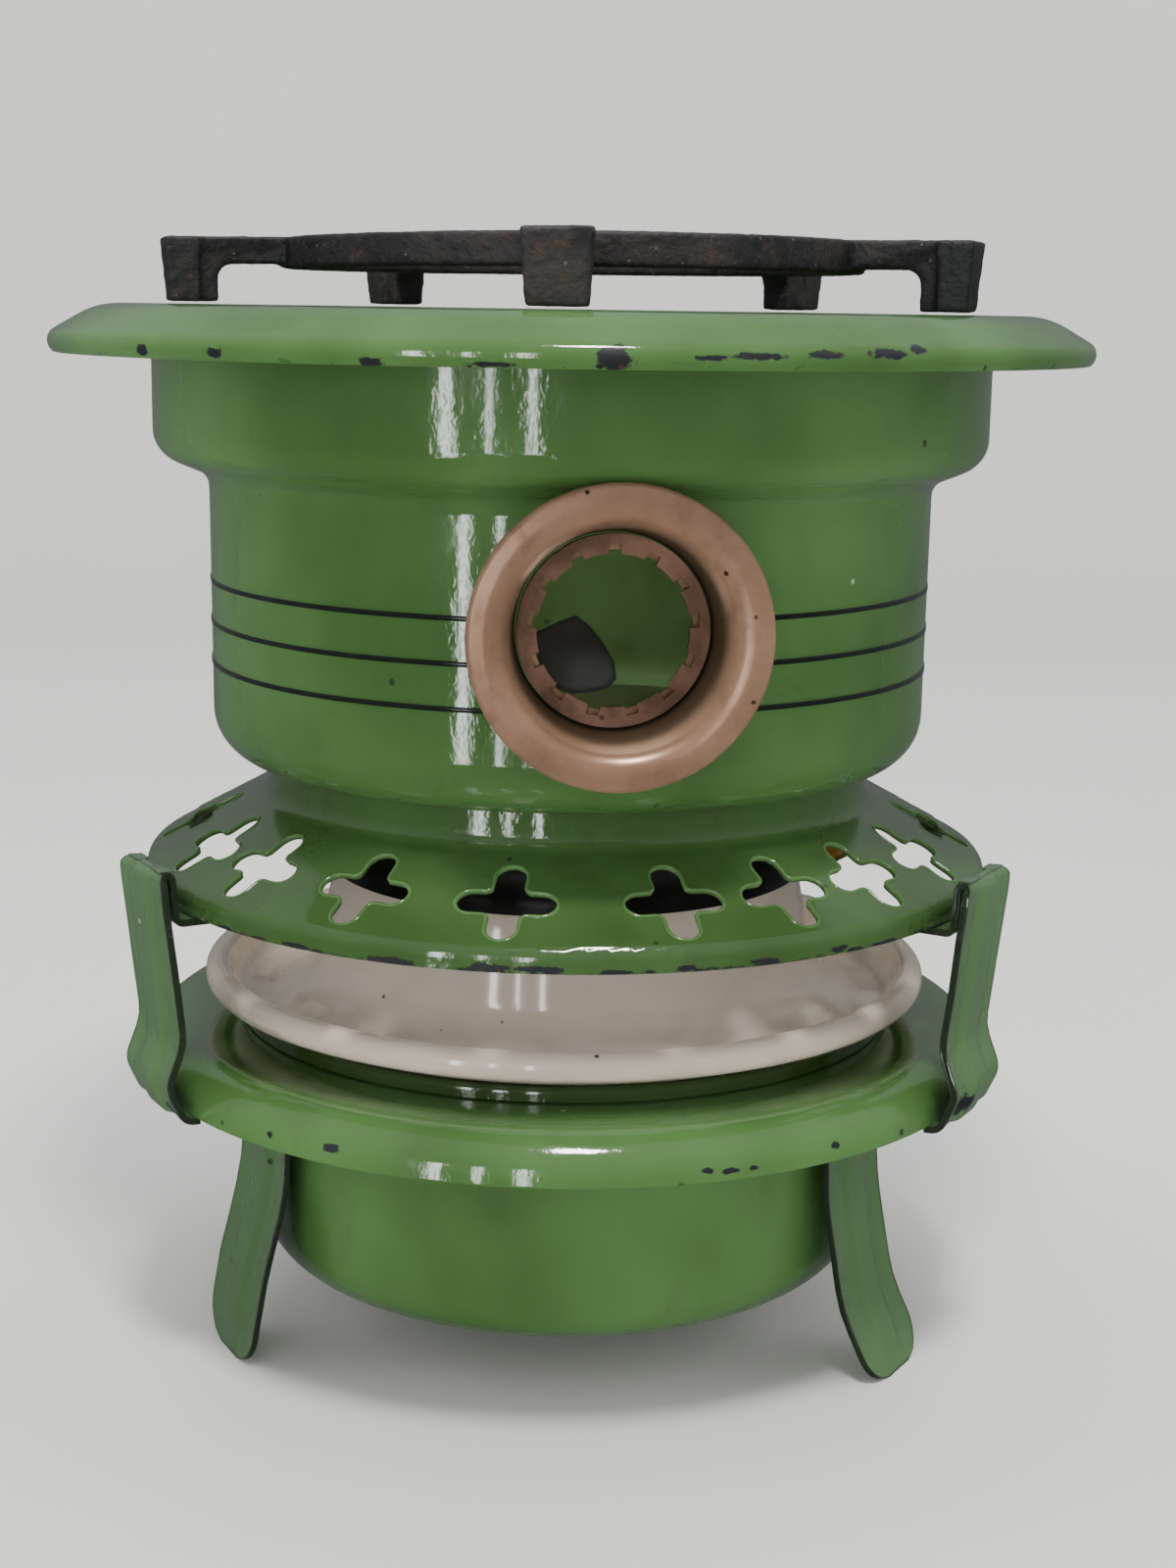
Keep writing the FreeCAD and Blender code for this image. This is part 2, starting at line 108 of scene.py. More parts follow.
def clouds(tree, where, scale, detail=3.0, roughness=0.55, distortion=0.0):
    """Noise from 0 to 1; scale is in waves per metre."""
    return add(tree, "TexNoise", {"Vector": where, "Scale": scale, "Detail": detail, "Roughness": roughness,
                                  "Distortion": distortion}).outputs["Fac"]


def stretched(tree, where, scale):
    return add(tree, "Mapping", {"Vector": where, "Scale": scale}).outputs[0]


def step(tree, value, low, high):
    """0 below low, 1 above high (or the other way round), smooth between."""
    return add(tree, "MapRange", {"Value": value, "From Min": low, "From Max": high},
               interpolation_type="SMOOTHSTEP").outputs[0]


def blend(tree, share, first, second):
    """First colour where share is 0, second where it is 1."""
    mixer = add(tree, "Mix", {0: share, 6: first, 7: second}, data_type="RGBA")
    return mixer.outputs[2]


def between(tree, share, first, second):
    """First number where share is 0, second where it is 1."""
    return add(tree, "Mix", {0: share, 2: first, 3: second}, data_type="FLOAT").outputs[0]


def rgb(red, green, blue):
    """A colour from 8-bit sRGB values, as linear RGBA."""
    linear = [c / 12.92 if c < 0.04045 else ((c + 0.055) / 1.055) ** 2.4
              for c in (red / 255, green / 255, blue / 255)]
    return (*linear, 1.0)


def dots(tree, where, scale, size, share):
    """Sparse round spots: 1 on a spot."""
    cells = add(tree, "TexVoronoi", {"Vector": where, "Scale": scale})
    spot = step(tree, cells.outputs["Distance"], size, size * 0.6)
    chosen = add(tree, "SeparateColor", {"Color": cells.outputs["Color"]}).outputs["Red"]
    return calc(tree, "MULTIPLY", spot, calc(tree, "LESS_THAN", chosen, share))


def near(tree, value, centre, width):
    """1 at the centre, falling to 0 at that distance from it."""
    away = calc(tree, "ABSOLUTE", calc(tree, "SUBTRACT", value, centre))
    return step(tree, away, width, 0.0)


def bump(tree, layers):
    """Normal from a list of (height, depth in metres)."""
    normal = None
    for height, depth in layers:
        inputs = {"Height": height, "Distance": depth, "Strength": 1.0}
        if normal:
            inputs["Normal"] = normal
        normal = add(tree, "Bump", inputs).outputs[0]
    return normal


def finish_shader(tree, inputs):
    shader = add(tree, "BsdfPrincipled", inputs)
    add(tree, "OutputMaterial", {"Surface": shader.outputs[0]})


# ---------------------------------------------------------------- finishes
ENAMEL_DEEP = rgb(65, 98, 49)
ENAMEL_LIGHT = rgb(85, 124, 70)
ENAMEL_GREY = rgb(88, 112, 86)
BARE_IRON = rgb(30, 34, 42)
RUST = rgb(92, 50, 28)


def chips(tree, where, mask, amount):
    """Broken patches inside the mask: 1 where the enamel is gone."""
    shape = clouds(tree, where, 230.0, 4.0, 0.6, 0.4)
    level = calc(tree, "ADD", shape, calc(tree, "MULTIPLY", mask, amount))
    return step(tree, level, 0.985, 1.0)


def marks(tree, where, listing):
    """Single chips, each given by azimuth in degrees, height, half length and half height in mm."""
    axes = add(tree, "SeparateXYZ", {"Vector": where}).outputs
    azimuth = calc(tree, "ARCTAN2", axes[1], axes[0])
    ragged = calc(tree, "SUBTRACT", clouds(tree, where, 650.0, 4.0, 0.7), 0.5)
    total = None
    for degrees, height, half_length, half_height in listing:
        reach = half_length / MARK_RADIUS
        across = calc(tree, "DIVIDE", calc(tree, "SUBTRACT", azimuth, math.radians(degrees)), reach)
        along = calc(tree, "DIVIDE", calc(tree, "SUBTRACT", axes[2], height * MM), half_height * MM)
        away = hypotenuse(tree, across, along)
        spot = step(tree, calc(tree, "ADD", away, calc(tree, "MULTIPLY", ragged, 2.2)), 1.0, 0.8)
        total = calc(tree, "MAXIMUM", total, spot) if total else spot
    return total


def enamel(name, edge=None, amount=0.34, grey=0.0, edge_name=None, singles=(), grimy=0.22, painted_shade=0.0):
    """Glossy green enamel, chipped along a rim and at singles.

    The rim comes from edge(tree, z, radius) or from the mesh attribute edge_name.
    """
    material, tree = new_material(name)
    where = place(tree)
    axes = add(tree, "SeparateXYZ", {"Vector": where}).outputs
    radius = hypotenuse(tree, axes[0], axes[1])
    cloudy = step(tree, clouds(tree, where, 22.0, 2.0), 0.3, 0.72)
    colour = blend(tree, cloudy, ENAMEL_DEEP, ENAMEL_LIGHT)
    # Painted shade: the enamel is darkened by this share towards a dark green, where the part lies in shadow
    colour = blend(tree, painted_shade, blend(tree, grey, colour, ENAMEL_GREY), rgb(38, 50, 24))
    grime = step(tree, clouds(tree, stretched(tree, where, (1, 1, 0.35)), 90.0, 5.0, 0.65), 0.5, 0.78)
    colour = blend(tree, calc(tree, "MULTIPLY", grime, grimy), colour, rgb(58, 66, 36))
    specks = dots(tree, where, 210.0, 0.16, 0.05)
    colour = blend(tree, calc(tree, "MULTIPLY", specks, 0.75), colour, rgb(30, 44, 22))
    pale = dots(tree, where, 150.0, 0.10, 0.03)
    colour = blend(tree, calc(tree, "MULTIPLY", pale, 0.6), colour, rgb(180, 200, 165))
    roughness = between(tree, calc(tree, "ADD", grime, specks, clamp=True), 0.09, 0.26)
    peel = clouds(tree, stretched(tree, where, (1, 1, 0.6)), 290.0, 3.0, 0.6)
    layers = [(clouds(tree, where, 42.0, 2.0), 6e-5), (peel, 9e-5),
              (clouds(tree, where, 1100.0, 2.0, 0.5), 3.5e-6)]
    rim = edge(tree, axes[2], radius) if edge else None
    if edge_name:
        rim = add(tree, "Attribute", attribute_name=edge_name).outputs["Fac"]
        colour = blend(tree, step(tree, rim, 0.35, 1.0), colour, rgb(34, 42, 30))
    gone = None
    if rim:
        gone = chips(tree, where, rim, amount)
        bruise = chips(tree, where, rim, amount + 0.04)
        colour = blend(tree, calc(tree, "MULTIPLY", bruise, 0.55), colour, rgb(40, 58, 34))
    if singles:
        spots = marks(tree, where, singles)
        gone = calc(tree, "MAXIMUM", gone, spots) if gone else spots
    if gone:
        metal = blend(tree, step(tree, clouds(tree, where, 500.0), 0.55, 0.75), BARE_IRON, RUST)
        colour = blend(tree, gone, colour, metal)
        roughness = between(tree, gone, roughness, 0.5)
        layers.append((calc(tree, "SUBTRACT", 1.0, gone), 1.5e-4))
    finish_shader(tree, {"Base Color": colour, "Roughness": roughness, "IOR": 1.52, "Coat Weight": 0.6,
                         "Coat Roughness": 0.05, "Normal": bump(tree, layers)})
    return material


def white_enamel():
    material, tree = new_material("white_enamel_deck")
    where = place(tree)
    height = add(tree, "SeparateXYZ", {"Vector": where}).outputs[2]
    cloudy = step(tree, clouds(tree, where, 30.0, 3.0), 0.35, 0.7)
    colour = blend(tree, cloudy, rgb(214, 200, 186), rgb(204, 188, 174))
    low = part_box("burner_deck")[0]
    trough = near(tree, height, low.z + 0.001, 0.005)
    dirt = calc(tree, "MULTIPLY", step(tree, clouds(tree, where, 120.0, 5.0, 0.65), 0.42, 0.7), trough)
    colour = blend(tree, calc(tree, "MULTIPLY", dirt, 0.4), colour, rgb(140, 125, 108))
    # Painted shade: the upper part of the raised wall, in shadow under the mantle and gallery, is greyed
    painted_wall_shade = step(tree, height, low.z + 0.008, low.z + 0.014)
    colour = blend(tree, calc(tree, "MULTIPLY", painted_wall_shade, 0.35), colour, rgb(170, 160, 152))
    specks = dots(tree, where, 190.0, 0.13, 0.07)
    colour = blend(tree, specks, colour, rgb(60, 50, 42))
    layers = [(clouds(tree, where, 45.0, 2.0), 5e-5), (clouds(tree, where, 420.0, 2.0), 6e-6)]
    finish_shader(tree, {"Base Color": colour, "Roughness": between(tree, dirt, 0.12, 0.35), "IOR": 1.52,
                         "Coat Weight": 0.5, "Coat Roughness": 0.05, "Normal": bump(tree, layers)})
    return material


def cast_iron():
    material, tree = new_material("rusty_cast_iron")
    where = place(tree)
    cloudy = step(tree, clouds(tree, where, 60.0, 4.0), 0.35, 0.7)
    colour = blend(tree, cloudy, rgb(40, 40, 44), rgb(62, 57, 57))
    rust = step(tree, clouds(tree, where, 330.0, 6.0, 0.7), 0.54, 0.68)
    patch = step(tree, clouds(tree, where, 45.0, 3.0), 0.45, 0.7)
    rusty = calc(tree, "MULTIPLY", rust, between(tree, patch, 0.15, 0.6))
    colour = blend(tree, rusty, colour, rgb(108, 72, 52))
    glint = dots(tree, where, 700.0, 0.2, 0.12)
    colour = blend(tree, calc(tree, "MULTIPLY", glint, 0.5), colour, rgb(150, 134, 120))
    layers = [(clouds(tree, where, 260.0, 4.0, 0.6), 6e-4),
              (clouds(tree, where, 1100.0, 4.0, 0.7), 2.0e-4)]
    finish_shader(tree, {"Base Color": colour, "Roughness": between(tree, rust, 0.5, 0.85), "Metallic": 0.3,
                         "Normal": bump(tree, layers)})
    return material


def copper():
    """Aged copper bezel: worn pale on its face, dark and brown in the throat."""
    material, tree = new_material("aged_copper")
    where = place(tree)
    turn = Matrix.Rotation(math.radians(WINDOW_AZIMUTH), 3, "Z")
    offset = add(tree, "VectorMath", {0: where, 1: UP * WINDOW_HEIGHT * MM}, operation="SUBTRACT").outputs[0]

    def along(direction):
        return add(tree, "VectorMath", {0: offset, 1: direction}, operation="DOT_PRODUCT").outputs["Value"]

    reach = along(turn @ Vector((1, 0, 0)))
    side = along(turn @ Vector((0, 1, 0)))
    lift = along(UP)
    radius = hypotenuse(tree, side, lift)
    cloudy = step(tree, clouds(tree, where, 70.0, 4.0), 0.3, 0.7)
    colour = blend(tree, cloudy, rgb(178, 142, 118), rgb(154, 120, 98))
    stain = step(tree, clouds(tree, where, 160.0, 6.0, 0.7), 0.5, 0.72)
    colour = blend(tree, calc(tree, "MULTIPLY", stain, 0.4), colour, rgb(116, 86, 66))
    pits = dots(tree, where, 420.0, 0.22, 0.06)
    colour = blend(tree, pits, colour, rgb(66, 44, 32))
    inside = step(tree, radius, 17.9 * MM, 16.4 * MM)
    deep = step(tree, reach, 74.5 * MM, 70.0 * MM)
    throat = calc(tree, "MULTIPLY", inside, between(tree, deep, 0.55, 0.92))
    colour = blend(tree, throat, colour, rgb(76, 64, 44))
    crack = calc(tree, "MULTIPLY", near(tree, radius, 15.7 * MM, 0.35 * MM),
                 step(tree, reach, 67.0 * MM, 65.0 * MM))
    colour = blend(tree, calc(tree, "MULTIPLY", crack, 0.8), colour, rgb(52, 34, 20))
    scratches = clouds(tree, stretched(tree, where, (1, 1, 9)), 160.0, 5.0, 0.7)
    roughness = between(tree, throat, between(tree, stain, 0.30, 0.42), 0.5)
    layers = [(clouds(tree, where, 120.0, 3.0), 6e-5), (scratches, 1.2e-5)]
    finish_shader(tree, {"Base Color": colour, "Metallic": 0.5, "Roughness": roughness,
                         "Normal": bump(tree, layers)})
    return material


def aged_metal(name, light, dark, roughness, metallic=1.0, scale=90.0):
    material, tree = new_material(name)
    where = place(tree)
    colour = blend(tree, step(tree, clouds(tree, where, scale, 5.0, 0.65), 0.35, 0.68), light, dark)
    spots = dots(tree, where, 380.0, 0.2, 0.08)
    colour = blend(tree, calc(tree, "MULTIPLY", spots, 0.7), colour, rgb(50, 38, 26))
    rough = between(tree, step(tree, clouds(tree, where, 240.0, 4.0), 0.4, 0.7), roughness, roughness + 0.2)
    layers = [(clouds(tree, where, 300.0, 3.0), 3e-5)]
    finish_shader(tree, {"Base Color": colour, "Metallic": metallic, "Roughness": rough,
                         "Normal": bump(tree, layers)})
    return material


def cotton():
    """Woven wick: a diagonal weave, sooty at the burning end."""
    material, tree = new_material("woven_cotton")
    where = place(tree)
    height = add(tree, "SeparateXYZ", {"Vector": where}).outputs[2]
    weave = add(tree, "TexWave", {"Vector": where, "Scale": 260.0, "Distortion": 1.5, "Detail": 1.0},
                wave_type="BANDS", bands_direction="DIAGONAL").outputs["Fac"]
    colour = blend(tree, weave, rgb(196, 186, 164), rgb(150, 138, 112))
    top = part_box("wick")[1].z
    soot = step(tree, calc(tree, "ADD", height, calc(tree, "MULTIPLY", clouds(tree, where, 200.0), 0.004)),
                top - 0.004, top + 0.001)
    colour = blend(tree, soot, colour, rgb(26, 23, 20))
    finish_shader(tree, {"Base Color": colour, "Roughness": 0.92, "Sheen Weight": 0.3,
                         "Normal": bump(tree, [(weave, 2e-4)])})
    return material


def mica():
    material, tree = new_material("clear_mica")
    where = place(tree)
    film = step(tree, clouds(tree, where, 110.0, 5.0, 0.7), 0.45, 0.8)
    colour = blend(tree, film, rgb(246, 244, 232), rgb(200, 190, 158))
    finish_shader(tree, {"Base Color": colour, "Roughness": between(tree, film, 0.02, 0.12), "IOR": 1.25,
                         "Transmission Weight": 1.0,
                         "Normal": bump(tree, [(clouds(tree, where, 60.0, 2.0), 8e-5)])})
    return material


def black_line():
    material, tree = new_material("fired_black_line")
    where = place(tree)
    worn = step(tree, clouds(tree, where, 260.0, 5.0, 0.7), 0.5, 0.75)
    colour = blend(tree, calc(tree, "MULTIPLY", worn, 0.35), rgb(20, 26, 24), rgb(36, 58, 32))
    finish_shader(tree, {"Base Color": colour, "Roughness": between(tree, worn, 0.14, 0.28), "IOR": 1.5,
                         "Normal": bump(tree, [(clouds(tree, where, 420.0, 2.0), 7e-6)])})
    return material


def dark_flake_mica():
    """A flake of mica, black above and grey below; it copies a dark patch low in the window whose cause is
    not known.
    """
    material, tree = new_material("dark_flake_mica")
    where = place(tree)
    height = add(tree, "SeparateXYZ", {"Vector": where}).outputs[2]
    streak = clouds(tree, where, 130.0, 4.0)
    level = calc(tree, "ADD", height, calc(tree, "MULTIPLY", streak, 6.0 * MM))
    # Grey below and black above, copying the dark patch in the window; its cause is not known
    grey_share = step(tree, level, (WINDOW_HEIGHT + 1.0) * MM, (WINDOW_HEIGHT - 6.0) * MM)
    colour = blend(tree, grey_share, rgb(10, 8, 8), rgb(58, 64, 74))
    finish_shader(tree, {"Base Color": colour, "Roughness": 0.55, "Specular IOR Level": 0.15,
                         "Normal": bump(tree, [(streak, 1e-4)])})
    return material


# ---------------------------------------------------------------- meshes
def new_piece(name, mesh, body, material, replaced=()):
    """An object on a body, finished with a material; it stands for the CAD nodes in replaced."""
    piece = bpy.data.objects.new(name, mesh)
    bpy.context.scene.collection.objects.link(piece)
    mesh.materials.clear()
    mesh.materials.append(material)
    for face in mesh.polygons:
        face.use_smooth = True
    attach(piece, body)
    if replaced:
        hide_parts(*replaced)
    return piece


def finished(mesh, name):
    """The edited mesh as mesh data; the edited one is freed."""
    data = bpy.data.meshes.new(name)
    mesh.to_mesh(data)
    mesh.free()
    return data


def skin(mesh, loops, closed=True):
    """Faces between neighbouring loops of vertices; closed joins the last loop to the first."""
    count = len(loops[0])
    following = loops[1:] + loops[:1] if closed else loops[1:]
    for a, b in zip(loops, following):
        for k in range(count):
            m = (k + 1) % count
            mesh.faces.new((a[k], b[k], b[m], a[m]))


def apply_modifiers(piece):
    """Bakes the piece's modifiers into its mesh."""
    bpy.context.view_layer.update()
    shown = piece.evaluated_get(bpy.context.evaluated_depsgraph_get())
    mesh = bpy.data.meshes.new_from_object(shown)
    piece.modifiers.clear()
    piece.data = mesh
    for face in mesh.polygons:
        face.use_smooth = True


def rounded(points, spacing=1.2):
    """Points along the outline (x, z, bend), with arcs at its bends and no step longer than spacing."""
    corners = [Vector(p[:2]) for p in points]
    path = [corners[0]]
    for before, corner, after, (_, _, bend) in zip(corners, corners[1:], corners[2:], points[1:]):
        inward = (corner - before).normalized()
        outward = (after - corner).normalized()
        turn = inward.angle_signed(outward) * -1
        reach = bend * math.tan(abs(turn) / 2)
        start = corner - inward * reach
        path.append(start)
        steps = max(2, round(abs(turn) / 0.2))
        side = math.copysign(1, turn)
        centre = start + Vector((-inward.y, inward.x)) * bend * side
        arm = start - centre
        for i in range(1, steps + 1):
            angle = turn * i / steps
            path.append(centre + Vector((arm.x * math.cos(angle) - arm.y * math.sin(angle),
                                         arm.x * math.sin(angle) + arm.y * math.cos(angle))))
    path.append(corners[-1])
    fine = [path[0]]
    for a, b in zip(path, path[1:]):
        parts = max(1, math.ceil((b - a).length / spacing))
        fine += [a.lerp(b, (i + 1) / parts) for i in range(parts)]
    return [p for p, q in zip(fine, fine[1:] + [None]) if q is None or (p - q).length > 1e-6]


def ease(value):
    value = min(max(value, 0.0), 1.0)
    return value * value * (3 - 2 * value)


def strip_mesh(name, path, half_width, rib, azimuth, columns=30):
    """Outer face of a bent strip. half_width(s, length) and rib(s, length, y) are in millimetres."""
    travelled = [0.0]
    for a, b in zip(path, path[1:]):
        travelled.append(travelled[-1] + (b - a).length)
    length = travelled[-1]
    mesh = bmesh.new()
    edge = mesh.verts.layers.float.new("edge")
    turn = Matrix.Rotation(math.radians(azimuth), 4, "Z")
    rows = []
    for i, (point, s) in enumerate(zip(path, travelled)):
        heading = (path[min(i + 1, len(path) - 1)] - path[max(i - 1, 0)]).normalized()
        out = Vector((heading.y, -heading.x))
        half = half_width(s, length)
        row = []
        for j in range(columns + 1):
            y = (2 * j / columns - 1) * half
            bend = 0.12 * noise.noise(Vector((s * 0.09, y * 0.09, azimuth)))
            lift = point + out * (rib(s, length, y) + bend - 0.12)
            vert = mesh.verts.new(turn @ (Vector((lift.x, y, lift.y)) * MM))
            vert[edge] = max(0.0, 1 - min(half - abs(y), s, length - s) / 1.3)
            row.append(vert)
        rows.append(row)
    for a, b in zip(rows, rows[1:]):
        for j in range(columns):
            mesh.faces.new((a[j], a[j + 1], b[j + 1], b[j]))
    mesh.normal_update()
    return finished(mesh, name)


def thicken(piece, thickness):
    """Gives a sheet its thickness, inwards, rounds its edges and keeps it above the floor."""
    solid = piece.modifiers.new("thickness", "SOLIDIFY")
    solid.thickness = thickness * MM
    solid.offset = -1
    bevel = piece.modifiers.new("edges", "BEVEL")
    bevel.width = 0.28 * MM
    bevel.segments = 3
    bevel.limit_method = "ANGLE"
    bevel.angle_limit = math.radians(50)
    apply_modifiers(piece)
    for vert in piece.data.vertices:
        vert.co.z = max(vert.co.z, 0.0)


# Where each leg is bent and where its toe would end below the floor: (radius, height)
LEG_KNEES = {"right": (65.0, 13.1), "back": (64.8, 13.1), "left": (65.8, 15.6)}
LEG_TOES = {"right": (72.9, -1.4), "back": (71.6, -1.4), "left": (69.0, -1.4)}


def make_leg(side, azimuth, material):
    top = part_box("leg_" + side)[1].z / MM
    knee = Vector(LEG_KNEES[side])
    below = Vector(LEG_TOES[side])
    toe = knee.lerp(below, knee.y / (knee.y - below.y))
    points = [(60.6, top - LEG_SHEET, 0), (61.2, 32.6, 40.0), (*knee, 24.0), (*toe, 0)]
    path = rounded(points)[::-1]
    corner = 7.0

    def half_width(s, length):
        drop = max(0.0, corner - s)
        return 10.5 - corner + math.sqrt(max(corner * corner - drop * drop, 0.25))

    def rib(s, length, y):
        ends = ease((s - 1.0) / 8) * ease((length - s + 2) / 6)
        raised = 1.15 * ease((4.6 - abs(y)) / 1.9)
        return ends * (raised + 0.35 * ease((abs(y) - 7.0) / 3.5))

    mesh = strip_mesh("leg_" + side, path, half_width, rib, azimuth)
    piece = new_piece("enamelled_leg_" + side, mesh, "base", material, ["leg_" + side])
    thicken(piece, LEG_SHEET)


def make_post(side, azimuth, material):
    under, top = (corner.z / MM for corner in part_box("post_" + side))
    points = [(77.6, under, 0), (80.4, under, 3.0), (83.6, 55.6, 4.5), (80.6, 63.2, 9.0), (83.9, top, 1.8),
              (80.3, top, 1.7), (79.7, 84.3, 0.8), (72.4, 84.3, 0)]
    path = rounded(points, 0.9)
    fold = top - under + 6.0

    def half_width(s, length):
        return 10.25 - 2.25 * ease((s - fold + 5.0) / 3.5)

    def rib(s, length, y):
        ends = ease((s - 1.0) / 4) * ease((fold - s) / 8)
        raised = 1.0 * ease((4.4 - abs(y)) / 1.8)
        return ends * (raised + 0.3 * ease((abs(y) - 6.6) / 3.4))

    mesh = strip_mesh("post_" + side, path, half_width, rib, azimuth)
    piece = new_piece("enamelled_post_" + side, mesh, "base", material, ["post_" + side])
    thicken(piece, POST_SHEET)


def slab(mesh, outline, half_widths, azimuth):
    """Closed slab from an outline of (radius, height); its half width may differ at each point."""
    turn = Matrix.Rotation(math.radians(azimuth), 4, "Z")
    sides = []
    for sign in (-1, 1):
        sides.append([mesh.verts.new(turn @ (Vector((r, sign * w, z)) * MM))
                      for (r, z), w in zip(outline, half_widths)])
    near_side, far_side = sides
    count = len(outline)
    mesh.faces.new(near_side)
    mesh.faces.new(far_side[::-1])
    for i in range(count):
        j = (i + 1) % count
        mesh.faces.new((near_side[j], near_side[i], far_side[i], far_side[j]))


def square_loop(mesh, inner, outer, low, high, angle):
    """Four corners of a ring's section, at an angle in radians."""
    along = Vector((math.cos(angle), math.sin(angle), 0))
    return [mesh.verts.new((along * r + UP * z) * MM)
            for r, z in ((inner, low), (outer, low), (outer, high), (inner, high))]


def ring_solid(mesh, inner, outer, low, high, steps=120):
    skin(mesh, [square_loop(mesh, inner, outer, low, high, 2 * math.pi * i / steps) for i in range(steps)])


def make_trivet(material):
    """Casting: ring, arms and tapered feet melted into one body, then roughened."""
    inset = 0.15  # room for the roughness
    low, high = TRIVET_LOW + inset, TRIVET_HIGH - inset
    arm_low = low + 7.0
    mesh = bmesh.new()
    ring_solid(mesh, 45.5, 52.0, low + 6.3, high)
    for azimuth in FOOT_AZIMUTHS:
        fillet = [(63.4 - 2.6 * (1 - math.sin(a)), arm_low - 2.6 * (1 - math.cos(a)))
                  for a in [math.radians(15 * k) for k in range(7)]]
        outline = [(49.0, high), (70.0, high), (70.0, low), (63.4, low)] + fillet[::-1] + [(49.0, arm_low)]
        widths = [4.0 if r < 55 else 3.2 if z < arm_low + 0.1 else 4.6 for r, z in outline]
        slab(mesh, outline, widths, azimuth)
        outline = [(66.6, high), (73.0, high), (72.0, low), (66.6, low)]
        slab(mesh, outline, [5.75, 5.75, 4.95, 4.95], azimuth)
    bmesh.ops.recalc_face_normals(mesh, faces=mesh.faces)
    piece = new_piece("cast_trivet", finished(mesh, "trivet"), "trivet", material, ["trivet"])
    melt = piece.modifiers.new("melt", "REMESH")
    melt.mode = "VOXEL"
    melt.voxel_size = 0.5 * MM
    soft = piece.modifiers.new("soft", "SMOOTH")
    soft.factor = 0.6
    soft.iterations = 4
    apply_modifiers(piece)
    vertices = piece.data.vertices
    normals = [vert.normal.copy() for vert in vertices]
    for vert, normal in zip(vertices, normals):
        rough = noise.fractal(vert.co * 700, 1.0, 2.0, 3)
        spot = vert.co - normal * (0.10 + 0.10 * rough) * MM
        sag = max(0.0, -spot.x / 0.07) * 0.09  # the casting is lower on its left
        spot.z -= (spot.z - low * MM) * sag
        vert.co = spot


def band(mesh, inner, outer, low, high, start, end, step_degrees=1.5):
    """Closed band round the axis, from one azimuth to another."""
    count = max(2, math.ceil((end - start) / step_degrees))
    angles = [math.radians(start + (end - start) * i / count) for i in range(count + 1)]
    loops = [square_loop(mesh, inner, outer, low, high, angle) for angle in angles]
    skin(mesh, loops, closed=False)
    mesh.faces.new(loops[0])
    mesh.faces.new(loops[-1][::-1])


def make_lines(material):
    """Three fired lines round the belly, broken where the window stands."""
    mesh = bmesh.new()
    gap = math.degrees(math.asin(LINE_GAP / BELLY_RADIUS))
    for height in LINE_HEIGHTS:
        band(mesh, BELLY_RADIUS - 0.35, BELLY_RADIUS + 0.05, height - LINE_HALF, height + LINE_HALF,
             WINDOW_AZIMUTH + gap, WINDOW_AZIMUTH + 360 - gap)
    bmesh.ops.recalc_face_normals(mesh, faces=mesh.faces)
    new_piece("belly_lines", finished(mesh, "lines"), "mantle", material)


# Outline of the flake round the window's centre: (sideways, upwards)
FLAKE_CORNERS = ((-12.6, -0.9), (-10.6, 0.0), (-8.2, 1.2), (-5.6, 2.1), (-3.4, 0.4), (-1.2, -2.4),
                 (0.6, -5.4), (1.0, -8.2), (-0.4, -9.6), (-3.2, -10.3), (-6.4, -10.4), (-9.0, -9.4),
                 (-11.0, -6.4), (-12.2, -3.4))
FLAKE_RADIUS = 62.2
FLAKE_SHEET = 0.15


def make_flake(material):
    """Torn flake of mica caught behind the pane, low on its left."""
    turn = Matrix.Rotation(math.radians(WINDOW_AZIMUTH), 4, "Z")
    mesh = bmesh.new()
    centre = Vector((-5.6, -4.6))
    rings = []
    for share in (1.0, 0.82, 0.6, 0.35, 0.12):
        row = []
        for y, z in FLAKE_CORNERS:
            point = centre.lerp(Vector((y, z)), share)
            curl = 0.9 * (point - centre).length ** 2 / 60 + 0.3 * noise.noise(Vector((*point, 3.0)))
            spot = Vector((FLAKE_RADIUS - curl, point.x, point.y + WINDOW_HEIGHT))
            row.append(mesh.verts.new(turn @ (spot * MM)))
        rings.append(row)
    count = len(FLAKE_CORNERS)
    for a, b in zip(rings, rings[1:]):
        for i in range(count):
            j = (i + 1) % count
            mesh.faces.new((a[i], a[j], b[j], b[i]))
    mesh.faces.new(rings[-1])
    mesh.normal_update()
    piece = new_piece("torn_mica_flake", finished(mesh, "flake"), "mantle", material)
    solid = piece.modifiers.new("thickness", "SOLIDIFY")
    solid.thickness = FLAKE_SHEET * MM
    solid.offset = 0
    apply_modifiers(piece)


def plus_outline():
    """Outline of an air hole: points and their outward normals, along the slope and across it."""
    arm, fillet, ends = 2.6, 1.2, (6.0, 5.65)
    outline = []
    for quarter in range(4):
        turn = Matrix.Rotation(math.radians(90 * quarter), 2)
        tip = Vector((ends[quarter % 2], 0))
        for k in range(-6, 7):
            way = Vector((math.cos(math.radians(15 * k)), math.sin(math.radians(15 * k))))
            outline.append((turn @ (tip + way * arm), turn @ way))
        corner = Vector((arm + fillet, arm + fillet))
        for k in range(5):
            angle = math.radians(270 - 22.5 * k)
            way = Vector((math.cos(angle), math.sin(angle)))
            outline.append((turn @ (corner + way * fillet), turn @ -way))
    return outline


def hole_azimuths():
    """Azimuths of all the air holes, from the front."""
    first, last = FRONT_HOLES[0], FRONT_HOLES[-1]
    pitch = (360 + first - last) / (BACK_HOLES + 1)
    return list(FRONT_HOLES) + [last + pitch * (i + 1) for i in range(BACK_HOLES)]


